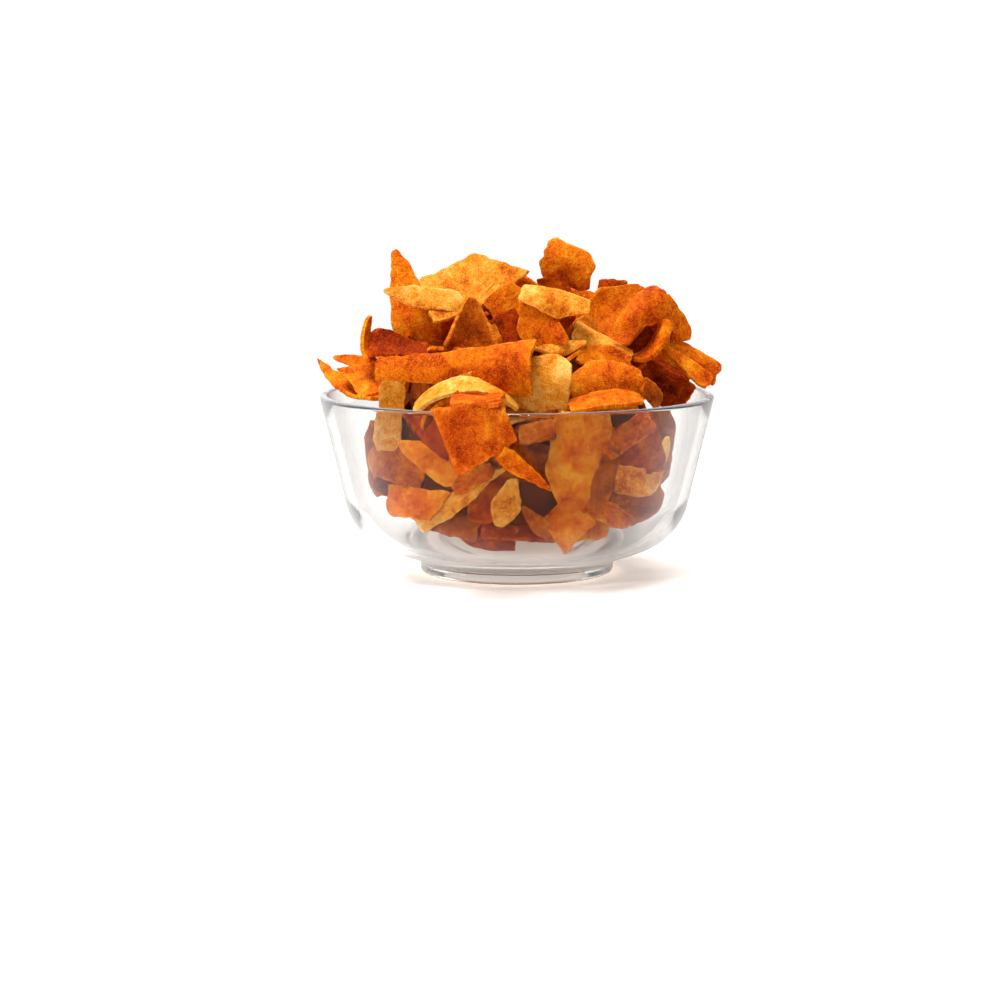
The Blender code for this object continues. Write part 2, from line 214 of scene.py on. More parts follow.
hang_lamp("top lamp", (-0.15, -0.1, 1.05), (0, 0, 0.05), 0.45, 15.0)
hang_lamp("left lamp", (-0.8, -0.8, 0.7), (0, 0, 0.07), 0.4, 4.5)
bpy.context.scene.view_settings.view_transform = "Standard"

# %% [markdown]
# ## The glass
# Pressed, toughened glass: clear and colourless, with an index of refraction near 1.5 and a
# fire-polished surface. In the photograph it mirrors a white tent, which shows as a soft haze where
# the wall is seen edge-on. A real tent would have to stand round the scene, so a painted white
# reflection grows with the slant of the glass instead. Light on its way to the crisps passes
# through as if the glass were thin, because a path tracer finds light behind real glass very
# slowly.

# %% Mix the glass
GLASS_IOR = 1.5
GLASS_SHINE = 0.12       # weakens the mirroring, as a polarising filter does
# The sheen below is a painted reflection, matt white, that stands in for the mirrored tent.
GLASS_EDGE = 0.6         # share of soft white sheen where the glass is seen edge-on
EDGE_SLANT = (0.3, 0.95)  # slants at which that sheen begins and is full
GLASS_SHADOW = 0.98      # share of the light that passes through to what lies behind


def clear_glass():
    """Clear glass with a painted white reflection at its edges, which casts almost no shadow."""
    made, tree, output = new_material("toughened soda-lime glass")
    glass = add(tree, "ShaderNodeBsdfPrincipled", {}, {
        "Roughness": 0.0, "IOR": GLASS_IOR, "Transmission Weight": 1.0})
    glass.inputs["Base Color"].default_value = (*hex_colour("#F1F3F3"), 1)
    glass.inputs["Specular Tint"].default_value = (GLASS_SHINE, GLASS_SHINE, GLASS_SHINE, 1)
    shadow = add(tree, "ShaderNodeBsdfTransparent", {}, {})
    shadow.inputs["Color"].default_value = (GLASS_SHADOW, GLASS_SHADOW, GLASS_SHADOW, 1)
    # Painted reflection of the white tent: a matt white shader, mixed in where the glass is
    # edge-on.
    painted_reflection = add(tree, "ShaderNodeBsdfDiffuse", {}, {})
    painted_reflection.inputs["Color"].default_value = (*hex_colour("#BEC0C2"), 1)
    slant = add(tree, "ShaderNodeLayerWeight", {}, {"Blend": 0.5})
    share = add(tree, "ShaderNodeMapRange", {"interpolation_type": "SMOOTHSTEP"}, {
        "Value": slant.outputs["Facing"], "From Min": EDGE_SLANT[0], "From Max": EDGE_SLANT[1],
        "To Max": GLASS_EDGE})
    edged = add(tree, "ShaderNodeMixShader", {}, {
        0: share.outputs[0], 1: glass.outputs[0], 2: painted_reflection.outputs[0]})
    rays = add(tree, "ShaderNodeLightPath", {}, {})
    mixed = add(tree, "ShaderNodeMixShader", {}, {
        0: rays.outputs["Is Shadow Ray"], 1: edged.outputs[0], 2: shadow.outputs[0]})
    tree.links.new(mixed.outputs[0], output.inputs["Surface"])
    return made


glass_finish = clear_glass()
print("glass:", glass_finish.name, "with IOR", GLASS_IOR)

# %% [markdown]
# ## The bowl
# A pressed glass bowl is a body of revolution. It could be cut from a cylinder, ring by ring, but
# half of its section says all: out from the middle of the foot's hollow, under the foot, up the
# outside, over the rounded lip and down the inside. One point is extruded along that section, and
# the section is then spun round.

# %% Sizes of the bowl, in millimetres
RIM_RADIUS = 70.0        # outside of the wall just under the lip
BOWL_HEIGHT = 64.0
WALL_LEAN = 0.236        # how much the wall closes in for each millimetre down
INNER_LEAN = 0.25        # the same inside, as the wall gets thicker downward
WALL_THICK = 2.8         # measured level, near the rim
LIP_START = 62.5         # height at which the lip begins to round over
OUTER_BEND = (39.66, 29.73, 22.0)  # centre radius, centre height and radius of the outer curve
INNER_BEND = (35.21, 33.5, 24.0)   # the same for the inner curve
BELLY_TURN = 70.0        # the outer curve stops at this many degrees from upright
NECK = (36.0, 5.0)       # where the bowl meets its foot
FOOT_OUTER = 34.5
FOOT_INNER = 27.5
FOOT_RECESS = 4.5
FLOOR = 9.5              # inner floor at the middle
BOWL_STEPS = 160         # facets round the bowl
LEAN_ANGLE = math.degrees(math.atan(WALL_LEAN))
INNER_ANGLE = math.degrees(math.atan(INNER_LEAN))


def outer_radius(height):
    """Radius of the outside of the wall at this height, above the belly."""
    return RIM_RADIUS - WALL_LEAN * (LIP_START - height)


def inner_radius(height):
    """Radius of the inside of the glass at this height."""
    centre_r, centre_z, bend = INNER_BEND
    if height >= centre_z - bend * math.sin(math.radians(INNER_ANGLE)):
        return RIM_RADIUS - WALL_THICK - INNER_LEAN * (LIP_START - height)
    drop = min(bend, centre_z - height)
    return centre_r + math.sqrt(bend * bend - drop * drop)


def arc(centre_r, centre_z, radius, start, stop, steps):
    """Points of a circle in the section, from one angle to another in degrees."""
    turns = [math.radians(start + (stop - start) * i / steps) for i in range(steps + 1)]
    return [(centre_r + radius * math.cos(a), centre_z + radius * math.sin(a)) for a in turns]


def bowl_section():
    """Half of the bowl's section, as pairs of radius and height."""
    lip = WALL_THICK / 2
    points = [(0, FOOT_RECESS), (FOOT_INNER - 2.2, FOOT_RECESS)]
    points += arc(FOOT_INNER - 2.2, FOOT_RECESS - 1.8, 1.8, 90, 20, 5)
    points += arc(FOOT_INNER + 1.4, 1.2, 1.2, 200, 270, 5)
    points += arc(FOOT_OUTER - 1.6, 1.6, 1.6, 270, 360, 6)
    points += [(FOOT_OUTER, NECK[1] - 1.8), (FOOT_OUTER + 0.4, NECK[1] - 0.9), NECK]
    points += arc(*OUTER_BEND, -BELLY_TURN, -LEAN_ANGLE, 20)
    points += [(outer_radius(h), h) for h in (35, 45, 55)]
    points += arc(RIM_RADIUS - lip, LIP_START, lip, 0, 180, 14)
    points += [(inner_radius(h), h) for h in (54, 44, 34)]
    points += arc(*INNER_BEND, -INNER_ANGLE, -90, 22)
    points += [(0, FLOOR)]
    return points


# %% Extrude the section and spin it
def spin_section(name, points, steps):
    """Draw a section with one point, extruded again and again, and spin it about the Z axis."""
    deselect_all()
    bpy.ops.mesh.primitive_plane_add(size=MM, location=(0, 0, 0))
    item = bpy.context.object
    item.name = name
    bpy.ops.object.mode_set(mode="EDIT")
    bpy.ops.mesh.select_all(action="SELECT")
    bpy.ops.mesh.merge(type="CENTER")
    bpy.ops.transform.translate(value=(points[0][0] * MM, 0, points[0][1] * MM))
    for (here_r, here_z), (next_r, next_z) in zip(points, points[1:]):
        step = ((next_r - here_r) * MM, 0, (next_z - here_z) * MM)
        bpy.ops.mesh.extrude_region_move(TRANSFORM_OT_translate={"value": step})
    bpy.ops.mesh.select_all(action="SELECT")
    bpy.ops.mesh.spin(steps=steps, angle=2 * math.pi, center=(0, 0, 0), axis=(0, 0, 1))
    bpy.ops.mesh.select_all(action="SELECT")
    bpy.ops.mesh.remove_doubles(threshold=0.01 * MM)
    bpy.ops.mesh.normals_make_consistent(inside=False)
    bpy.ops.object.mode_set(mode="OBJECT")
    bpy.ops.object.transform_apply(location=True, rotation=True, scale=True)
    bpy.ops.object.shade_smooth()
    return item


bowl = spin_section("glass_bowl", bowl_section(), BOWL_STEPS)
bowl.data.materials.append(glass_finish)
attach(bowl, "root")
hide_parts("bowl")
print("bowl:", len(bowl.data.polygons), "faces")

# %% [markdown]
# ## The crisps
# A crisp starts as a flat ribbon of corn dough. The fryer rolls it up, cups it across and ripples
# it, but hardly stretches it. It could be sculpted, but then its surface would stretch, so each one
# is a flat grid that is bent along its length. The crisps that show from the front are placed one
# by one, and the others lie as chance put them.

# %% Outlines of a flat crisp
# Share of the width at the first end, share of the length over which it opens to the full width,
# then the same two for the other end.
OUTLINES = {
    "slab": (0.92, 0.06, 0.92, 0.06),
    "strip": (0.55, 0.15, 0.55, 0.15),
    "oval": (0.45, 0.40, 0.45, 0.40),
    "leaf": (0.12, 0.50, 0.12, 0.50),
    "blade": (0.10, 0.75, 0.80, 0.12),
    "horn": (0.10, 0.40, 0.80, 0.12),
    "flare": (0.40, 1.00, 0.95, 0.05),
}
CRISP_THICK = 1.4
CELL = 1.0               # spacing of a crisp's grid, in millimetres
GLASS_GAP = 0.6          # every crisp keeps at least this far off the glass
SIDE_SLACK = 0.07        # the heap stays this share off the wall at its left and right
print("outlines of a crisp:", ", ".join(OUTLINES))

# %% The crisps that show from the front
# Each has its name, its colour, its outline, where its two ends are, its width, how far its face is
# tipped back from facing forward, and how far it is rolled up along its length (minus bulges
# forward). It may be cupped across, have slanted ends, or open slowly (a power above 1).
# Each crisp's colour is partly its own and partly painted light: pale on tops that the lamp lights,
# red and tan kinds where a crisp lies in shade.
FRONT = (
    ("long front", "orange", "flare", (-49, -36, 76), (4, -54, 79), 20, 20, 12,
     {"cup": -5, "power": 1.6}),
    ("left tall", "orange", "blade", (-43.5, -2, 115), (-33.5, -13, 82), 16.5, 8, -15,
     {"cup": -1.5}),
    ("top slab", "pale", "slab", (-32, -13, 97.5), (-5, -6, 110.5), 21, 38, 40, {"cut": (12, -30)}),
    ("slab wing", "pale", "horn", (-46.5, -17, 101), (-19, -12.5, 97), 8.5, 30, 15,
     {"cut": (0, -25)}),
    ("tent", "tan", "blade", (-16, -26, 99.5), (-16, -26, 79), 18, 0, 0, {"cup": 6}),
    ("tent tie", "tan", "slab", (-16, -23.5, 87), (-12, -3, 74.5), 9, 0, 0, {}),
    ("red trough", "red", "blade", (-26, -20, 80), (-52, -20, 80.5), 15, 58, 0, {"cup": 4}),
    ("hook", "orange", "blade", (-51.5, -16, 92.5), (-50, -24, 77), 7, 62, 70, {}),
    ("left horn", "orange", "horn", (-71, 2, 75.5), (-47, -36, 66), 8.5, 45, 45,
     {"cup": 2, "power": 1.2}),
    ("fork top", "orange", "blade", (-65.5, 11, 75.5), (-42, 3, 69.5), 8, 35, -40, {}),
    ("fork low", "orange", "blade", (-64.5, 5, 72), (-36, -1, 66.5), 7, 20, -20, {}),
    ("left face", "orange", "slab", (-56, -14, 74.5), (-48.5, -32, 67), 11, 20, 0,
     {"cut": (30, 0)}),
    ("left post", "pale", "strip", (-42.5, -37, 73), (-45, -30, 47), 9, 0, -20, {}),
    ("arch", "pale", "slab", (-35, -46, 62.5), (0, -50, 65), 9, 66, -105, {}),
    ("front sweep", "pale", "blade", (-20.5, -46, 73), (17.5, -52, 71), 20, 0, 20, {"cup": -3}),
    ("sweep top", "pale", "blade", (24, -28.5, 84.5), (3, -32.5, 80), 8, 35, 0, {"cup": -2}),
    ("dome", "orange", "oval", (17.5, -39, 68), (43.5, -33, 70), 20, 12, -20, {"cup": -5}),
    ("rim lip", "orange", "oval", (17.5, -55, 64), (42, -49.5, 66.8), 12, 66, -30, {}),
    ("ridge", "pale", "slab", (20, -23, 89), (39.5, -23, 79), 11, 60, 0, {"cup": -2}),
    ("under ridge", "orange", "oval", (20.5, -30, 80.5), (39.5, -28, 77), 11, 30, 20, {}),
    ("scoop wing", "orange", "blade", (33.5, -23, 87), (52, -13, 100), 13, 20, -20, {"cup": -4}),
    ("scoop back", "orange", "blade", (52.5, -12, 100), (57, -10, 82.5), 11, 25, 0, {}),
    ("scoop lip", "orange", "slab", (52, -17, 91), (40.5, -23, 78), 8, 65, 90, {}),
    ("scoop hollow", "red", "slab", (37, -10.5, 80), (51, -10.5, 91), 17, 10, 0, {}),
    ("right end", "orange", "slab", (51.5, -12, 82.5), (70.8, -10, 71.5), 9, 25, 0, {"cup": -1.5}),
    ("right edge", "orange", "blade", (50.5, -13, 83), (67.5, -17, 69), 7, 40, 15, {}),
    ("dark slab", "red", "slab", (43.5, -7, 71.5), (60, -11, 62), 13, 20, 0, {}),
    ("dark back", "red", "slab", (41, 11, 77), (62, 7, 67.5), 10, 15, 0, {}),
    ("thin arch", "tan", "slab", (43, -35.5, 70), (49, -31.5, 63.5), 7, 50, -50, {}),
    ("back sheet", "orange", "slab", (25, -2, 100), (28.5, -12, 84), 20, 15, 0,
     {"cup": -3, "cut": (20, 0)}),
    ("back point", "orange", "horn", (44, -2, 102), (28, -14, 85), 21, 15, 0,
     {"cup": 3, "cut": (-15, 0)}),
    ("peek", "red", "slab", (29, 3, 100), (38.5, 3, 98.5), 9, 15, -60, {}),
    ("crown", "orange", "strip", (9.5, 0.5, 113.5), (26.5, 1.5, 105), 14.5, 12, -25,
     {"cup": -3, "cut": (-6, -10)}),
    ("crown foot", "red", "slab", (11.5, 0, 106), (16, -4, 94), 10, -15, 40, {}),
    ("pale leaf", "pale", "oval", (1.5, -25, 101.5), (25, -27, 96), 11, 38, 0, {"cup": -2}),
    ("orange blade", "orange", "blade", (17.5, -31, 84.5), (0.5, -25, 95.5), 15, 10, 0,
     {"cup": -2, "cut": (0, -32)}),
    ("mid behind", "orange", "slab", (-8, -18, 92), (2.5, -14, 100), 14, 10, 0, {}),
    ("mid red", "red", "slab", (-6.5, -26, 88), (1.5, -24, 91), 11, 10, 0, {}),
    ("slab under", "red", "slab", (-1.5, -7, 104), (-11.5, -11, 95), 8, -10, 0, {}),
    ("rim hook", "brick", "slab", (-17, -71.4, 67.5), (-10, -71.6, 49), 23, 5, -30,
     {"cup": -3.5, "cut": (12, -10)}),
    ("rim bridge", "brick", "slab", (-14.5, -71.5, 67), (-13, -50, 68), 17, 0, -20, {}),
    ("rim inner", "red", "slab", (-16, -58, 67), (-28, -56, 50), 12, 5, 0, {}),
    ("rim tail", "orange", "blade", (11, -67, 38), (-6, -71.4, 51), 6.5, 0, 0, {}),
    ("big leaf", "orange", "horn", (17, -46, 26), (22.5, -56, 62), 19, 5, 0, {"cup": -3}),
    ("stem", "orange", "slab", (21.5, -46, 29), (12, -40, 18), 14, 15, 0, {}),
    ("diagonal", "pale", "blade", (-4.5, -45, 43), (-34, -33, 21), 8.5, 0, -20, {}),
    ("over diagonal", "orange", "strip", (-9, -46, 43), (-21.5, -42, 35), 6, 10, 0, {}),
    ("low leaf", "pale", "leaf", (-1, -44, 39.5), (-6.5, -36, 19.5), 11, 0, -15, {}),
    ("small leaf", "tan", "leaf", (2, -44.5, 29), (12, -36.5, 15), 7, 10, -20, {}),
    ("wedge", "orange", "blade", (-40.5, -38, 51), (-19.5, -44, 41), 13, 0, 0, {"cup": -2}),
    ("left low", "orange", "slab", (-44.5, -32, 30), (-26, -40, 28.5), 11, 10, 0, {"cut": (0, 30)}),
    ("left band", "tan", "slab", (-50, -28, 47), (-31.5, -34, 39), 14, 5, 0, {}),
    ("left under", "red", "slab", (-47, -27, 39), (-33.5, -33, 32), 12, 10, 0, {}),
    ("right wing", "orange", "slab", (45, -44, 59), (29, -52, 49.5), 8, 10, -20, {}),
    ("right strip", "tan", "strip", (33, -52, 51), (25.5, -46, 29), 7, 10, 0, {}),
    ("pale curl", "pale", "blade", (52, -23.5, 51), (42.5, -25.5, 32), 8, -20, -30, {}),
    ("curl face", "pale", "slab", (33, -40.5, 39), (44, -32.5, 36), 10, 30, 30, {}),
    ("right brown", "red", "slab", (37.5, -32.5, 56), (42.5, -30.5, 38), 20, 10, 0, {}),
    ("pale edge", "orange", "oval", (22, -46, 30), (39, -38, 22.5), 9, 45, -20, {}),
    ("bottom orange", "orange", "slab", (11, -34, 20), (32, -32, 21), 11, 30, 0, {"cut": (0, 25)}),
    ("right low", "tan", "slab", (33, -31, 26), (51, -21, 30), 15, 10, 0, {}),
    ("under rim", "tan", "slab", (0.5, -54, 55), (12.5, -54, 57), 6, 30, 20, {}),
    ("bottom left", "tan", "slab", (-29, -32, 23.5), (-13, -34, 19.5), 11, 20, 0, {"cut": (25, 0)}),
    ("bottom mid", "red", "slab", (-12, -32, 19.5), (11, -32, 19), 10, 30, 0, {}),
    ("right behind", "tan", "strip", (50.5, -14, 58), (47, -14, 33), 12, 5, 0, {}),
    ("left behind", "tan", "strip", (-48.5, -14, 54), (-46, -14, 29), 11, 0, 0, {}),
    ("back lean", "tan", "slab", (-16, 41, 76), (-8, 71.5, 69), 13, 0, -25, {"cup": 2}),
)
OUTSIDE = ("rim hook", "rim tail")  # these hang in front of the glass
print("crisps placed one by one:", len(FRONT))

# %% [markdown]
# ## The crisps that chance laid
# The back of the heap isn't in the photograph, so its crisps lie as they fell: rows of them round
# the heap, each turned, tipped and curled at random. They could be dropped with a physics
# simulation, but a fixed seed gives the same heap each time. A second, closer set fills the gaps
# between the outer ones, and a third lies flatter over the top, so that no plain core shows.

# %% The crisps round the sides, the back, deeper down and on top
SEED = 64
DEEP_SEED = 5
TOP_SEED = 11
STEEP_TILT = 65          # the outer and the deep crisps climb by up to so many degrees
TOP_TILT = 20            # and those on top by up to so many
TOP_FACE_UP = 0.7        # share by which those on top face upwards
NARROW = 0.86            # the rows are narrower from side to side than from front to back
# Height, distance from the middle, how many, and the bearings they are spread over (0 is to the
# right, 90 is straight back).
ROWS = (
    (25.0, 36.0, 3, 40, 140),
    (36.0, 45.0, 5, 0, 180),
    (50.0, 48.5, 6, 0, 180),
    (64.0, 48.5, 7, 5, 175),
    (75.0, 41.0, 8, 5, 175),
    (84.0, 31.0, 6, 20, 160),
    (89.0, 22.0, 4, 40, 140),
)
DEEP_ROWS = (
    (20.0, 27.0, 6, 0, 300),
    (33.0, 35.0, 7, 0, 309),
    (46.0, 38.0, 8, 0, 315),
    (58.0, 40.0, 8, 0, 315),
    (68.0, 38.0, 8, 0, 315),
    (77.0, 29.0, 7, 0, 309),
    (86.0, 15.0, 5, 0, 288),
    (22.0, 32.0, 5, 10, 170),
    (31.0, 38.0, 6, 0, 180),
    (41.0, 41.0, 7, 0, 180),
    (53.0, 41.5, 6, 5, 175),
)
TOP_ROWS = (
    (84.0, 7.0, 3, 20, 260),
    (80.0, 20.0, 6, 0, 300),
    (73.0, 31.0, 8, 0, 315),
    (62.0, 42.0, 6, 20, 160),
    (54.0, 49.0, 6, 25, 155),
    (58.0, 44.0, 5, 215, 325),
)


def side_crisps(rows, seed, tilt=STEEP_TILT, face_up=0.0):
    """Crisps lying at random round the heap, in rows, facing outwards or partly upwards."""
    rng = random.Random(seed)
    kinds = ("slab", "slab", "strip", "oval", "leaf", "blade", "horn")
    for height, reach, count, first, last in rows:
        for number in range(count):
            spread = (last - first) / max(1, count - 1)
            bearing = math.radians(first + spread * number + rng.uniform(-6, 6))
            out = np.array((math.cos(bearing), math.sin(bearing), 0.0))
            level = np.array((-out[1], out[0], 0.0))
            rise = math.radians(rng.uniform(-tilt, tilt))
            along = math.cos(rise) * level + math.sin(rise) * np.array((0.0, 0.0, 1.0))
            middle = out * (reach + rng.uniform(-3, 3))
            middle[0] *= NARROW
            middle[2] = height + rng.uniform(-3, 3)
            half = rng.uniform(13, 19) * along
            facing = (1 - face_up) * out + face_up * np.array((0.0, 0.0, 1.0))
            more = {"toward": tuple(facing), "twist": rng.uniform(-35, 35),
                    "cup": rng.uniform(-3, 2)}
            bend = rng.choice((-1, -1, 1)) * rng.uniform(30, 100)
            yield ("side", "", rng.choice(kinds), middle - half, middle + half,
                   rng.uniform(12, 18), rng.uniform(-15, 45), bend, more)


print("crisps laid by chance:", sum(row[2] for row in ROWS + DEEP_ROWS + TOP_ROWS))

# %% [markdown]
# ## Bending one crisp
# The flat grid keeps its own two distances, along and across, in millimetres. Rolling it up turns
# the distance along into an arc, cupping lifts its two long edges, and a slow ripple makes it
# uneven. A Simple Deform modifier can bend a sheet too, but it can't do all three and still end at
# two given points. So the points are worked out here, and laid on the line between the two ends.

# %% How uneven a crisp is, in millimetres
RIPPLE = 1.0             # height of the slow ripple
RIPPLE_LENGTH = 9.0
WAVER = 0.55             # how far the two long edges wander
WAVER_LENGTH = 8.0
FRAY = 0.45              # how torn they are
FRAY_LENGTH = 2.0
BREAK = 0.9              # how uneven the broken ends are
BREAK_LENGTH = 2.2


# %% Bend a grid into a crisp
def unit(vector):
    return vector / np.linalg.norm(vector)


def crisp_axes(start, end, toward, tip):
    """Along, across and face directions of a crisp that runs from start to end."""
    along = unit(end - start)
    face = toward - (toward @ along) * along
    if np.linalg.norm(face) < 0.3:
        face = np.array((0.0, 0.0, 1.0)) - along[2] * along
    face = unit(face)
    upward = np.cross(face, along)
    if abs(upward[2]) < 0.25:
        upward = upward if upward[0] > 0 else -upward
    elif upward[2] < 0:
        upward = -upward
    lean = math.radians(tip)
    face = math.cos(lean) * face + math.sin(lean) * upward
    return along, np.cross(face, along), face


def wander(values, length, seed):
    """Smooth noise, one number for each pair of distances in millimetres."""
    flat = [noise.noise(Vector((a / length, b / length, seed * 7.31))) for a, b in values]
    return np.array(flat)


def bend_crisp(s, t, outline, start, end, width, tip, bend, more, seed):
    """Places of a crisp's points, for shares s along it (0 to 1) and t across it (-1 to 1)."""
    start = np.array(start, float)
    end = np.array(end, float)
    toward = np.array(more.get("toward", (0.0, -1.0, 0.0)))
    along, across, face = crisp_axes(start, end, toward, tip)
    turn = math.radians(bend if abs(bend) > 1 else 1)
    roll = np.linalg.norm(end - start) / (2 * math.sin(turn / 2))
    length = roll * turn
    first, first_run, last, last_run = OUTLINES[outline]
    share = np.minimum(first + (1 - first) * np.minimum(s / first_run, 1) ** more.get("power", 0.8),
                       last + (1 - last) * np.minimum((1 - s) / last_run, 1) ** 0.8)
    side = np.sign(t)
    v = t * width / 2 * share
    cut = more.get("cut", (0, 0))
    u = length * (s - 0.5) + v * ((1 - s) * math.tan(math.radians(cut[0]))
                                  + s * math.tan(math.radians(cut[1])))
    v += WAVER * np.abs(t) ** 3 * wander(zip(u, side * 40), WAVER_LENGTH, seed)
    v += FRAY * np.abs(t) ** 6 * wander(zip(u, side * 20), FRAY_LENGTH, seed)
    u += BREAK * np.abs(2 * s - 1) ** 8 * wander(zip(v, np.sign(s - 0.5) * 60), BREAK_LENGTH, seed)
    lift = RIPPLE * wander(zip(u, v), RIPPLE_LENGTH, seed + 0.5)
    x = roll * np.sin(u / roll)
    z = roll * (math.cos(turn / 2) - np.cos(u / roll)) + lift
    z += more.get("cup", 0) * (2 * v / width) ** 2
    twist = math.radians(more.get("twist", 0)) * (s - 0.5)
    v_turned = v * np.cos(twist) - z * np.sin(twist)
    z_turned = v * np.sin(twist) + z * np.cos(twist)
    middle = (start + end) / 2
    places = (middle + x[:, None] * along + v_turned[:, None] * across + z_turned[:, None] * face)
    return places, u, v


def off_the_glass(places, outside):
    """Push the points of a crisp clear of the wall, the floor and the lip."""
    room = CRISP_THICK / 2 + GLASS_GAP
    for point in places:
        reach = math.hypot(point[0], point[1])
        height = point[2]
        if outside:
            wanted = max(reach, outer_radius(min(height, LIP_START)) + room)
            if height < BOWL_HEIGHT + room:
                point[:2] *= wanted / reach
        elif height > LIP_START - 2 and reach > RIM_RADIUS - WALL_THICK - room:
            point[2] = max(height, BOWL_HEIGHT + room)
        elif height < BOWL_HEIGHT + room:
            point[2] = height = max(height, FLOOR + 0.5 + room)
            slack = SIDE_SLACK * (point[0] / reach) ** 2 * min(1, max(0, (LIP_START - height) / 12))
            limit = (inner_radius(min(height - 0.5, LIP_START)) - room) * (1 - slack)
            if reach > limit:
                point[:2] *= limit / reach
    return places


# %% [markdown]
# ## From a grid to a fried ribbon
# Each crisp starts as Blender's own grid, with a point about every millimetre. It keeps its flat
# distances as an attribute named dough, so that the seasoning lies on it as on the flat dough, and
# nothing is stretched where it curls. A second attribute, facts, holds how seasoned the crisp is
# and how near a point is to its edge, where the powder has rubbed off.

# %% Make one ribbon
EDGE_POWER = 14          # the higher, the narrower the rubbed edge


def flat_length(start, end, bend):
    """Length of a crisp along its curl, in millimetres."""
    turn = math.radians(bend if abs(bend) > 1 else 1)
    chord = float(np.linalg.norm(np.array(end, float) - np.array(start, float)))
    return chord * turn / (2 * math.sin(turn / 2))


def make_ribbon(crisp, seed):
    """One bent sheet, still without thickness."""
    name, colour, outline, start, end, width, tip, bend, more = crisp
    cells_along = max(8, round(flat_length(start, end, bend) / CELL))
    cells_across = max(5, round(width / CELL))
    bpy.ops.mesh.primitive_grid_add(x_subdivisions=cells_along, y_subdivisions=cells_across,
                                    size=2, location=(0, 0, 0))
    ribbon = bpy.context.object
    mesh = ribbon.data
    flat = np.zeros(len(mesh.vertices) * 3)
    mesh.vertices.foreach_get("co", flat)
    flat = flat.reshape(-1, 3)
    places, u, v = bend_crisp((flat[:, 0] + 1) / 2, flat[:, 1], outline, start, end, width, tip,
                              bend, more, seed)
    places = off_the_glass(places, name in OUTSIDE)
    mesh.vertices.foreach_set("co", (places * MM).ravel())
    dough = np.stack([u + 90.0 * (seed % 13), v + 70.0 * (seed // 13), 0 * u], -1) * MM
    mesh.attributes.new("dough", "FLOAT_VECTOR", "POINT").data.foreach_set("vector", dough.ravel())
    seasoned = random.Random(seed).random()
    edge = np.maximum(np.abs(flat[:, 0]), np.abs(flat[:, 1])) ** EDGE_POWER
    facts = np.stack([0 * u + seasoned, edge, 0 * u, 0 * u + 1], -1)
    mesh.attributes.new("facts", "FLOAT_COLOR", "POINT").data.foreach_set("color", facts.ravel())
    return ribbon


print("the first crisp is", round(flat_length(*FRONT[0][3:5], FRONT[0][7]), 1), "mm long")

# %% [markdown]
# ## What a fried crisp looks like
# Fried corn dough with a dry seasoning powder: rough, hardly glossy, and a little translucent at
# its thin edges. The dough fries to a pale gold. The powder clings to it, thick in some places and
# thin in others, with brick-red flecks and pale grains of maize. A photograph of a crisp could be
# laid on, but it would repeat. So one value, from bare dough to thick powder, is made of four
# noises of falling size and is looked up in a ramp, and flecks and grains are dabbed over it. Real
# grains are as fine as 0.2 mm, which the picture can't show, so they are drawn twice as coarse.

# %% Sizes and colours of the seasoning
WASH = 13.0              # slow change of the seasoning along a crisp, in millimetres
BLOTCH = 4.5             # width of a blotch of seasoning
MOTTLE = 1.3             # fine mottling of the powder
GRAIN = 0.45             # single grains
FLECK = 0.9              # brick-red flecks
MAIZE = 0.7              # pale grains of maize
POWDER_BASE = -0.83      # the lower, the more bare dough shows
RAMP_PLACES = (0.38, 0.58, 0.80, 1.0)  # where the four colours below lie in the ramp
RELIEF = 0.25            # height of the powder, in millimetres
CRISP_IOR = 1.45         # of fat and starch
OIL_GLOSS = 0.06         # the dry powder hides nearly all of the oil's gloss
GLOW_THROUGH = 0.25      # share of the light that goes into the dough and comes out again
GLOW_REACH = 2.5         # how far it goes, in millimetres
# Bare dough, thin powder, thick powder and burnt powder, for each kind of crisp. Brick is the kind
# of the crisp that hangs over the rim, under the thickest powder. The darkest kind is the core's,
# painted shade that stands for the deep shadow between the crisps.
COLOURS = {
    "pale": ("#FBCB76", "#F2A83C", "#DE7E10", "#B24804"),
    "orange": ("#F0A022", "#E27806", "#CA5200", "#922A00"),
    "tan": ("#DA8420", "#BE5A06", "#983A00", "#601C00"),
    "red": ("#D06A0C", "#B84400", "#8E2600", "#581000"),
    "brick": ("#E8881A", "#D8620A", "#B84000", "#7A2200"),
    # Painted shade for the core: the colour of the deep shadow between the crisps.
    "deep_shade": ("#A04A08", "#742A02", "#501600", "#300A00"),
}


# %% Mix the seasoned crisp
def noise_of(tree, place, width, detail=2.0):
    """Noise whose patches are about this wide, in millimetres."""
    return add(tree, "ShaderNodeTexNoise", {}, {
        "Vector": place, "Scale": 1 / (width * MM), "Detail": detail, "Roughness": 0.6}).outputs[0]


def add_share(tree, value, share, base):
    """base + share * value, as a node."""
    return add(tree, "ShaderNodeMath", {"operation": "MULTIPLY_ADD"},
               {0: value, 1: share, 2: base}).outputs[0]


def dab(tree, value, low, high, strength, colour, over):
    """Lay a colour over another one where a value lies above low, in full above high."""
    where = add(tree, "ShaderNodeMapRange", {}, {
        "Value": value, "From Min": low, "From Max": high, "To Min": 0.0, "To Max": strength})
    mixed = add(tree, "ShaderNodeMix", {"data_type": "RGBA"}, {0: where.outputs[0], 6: over})
    mixed.inputs[7].default_value = (*colour, 1)
    return mixed.outputs[2]


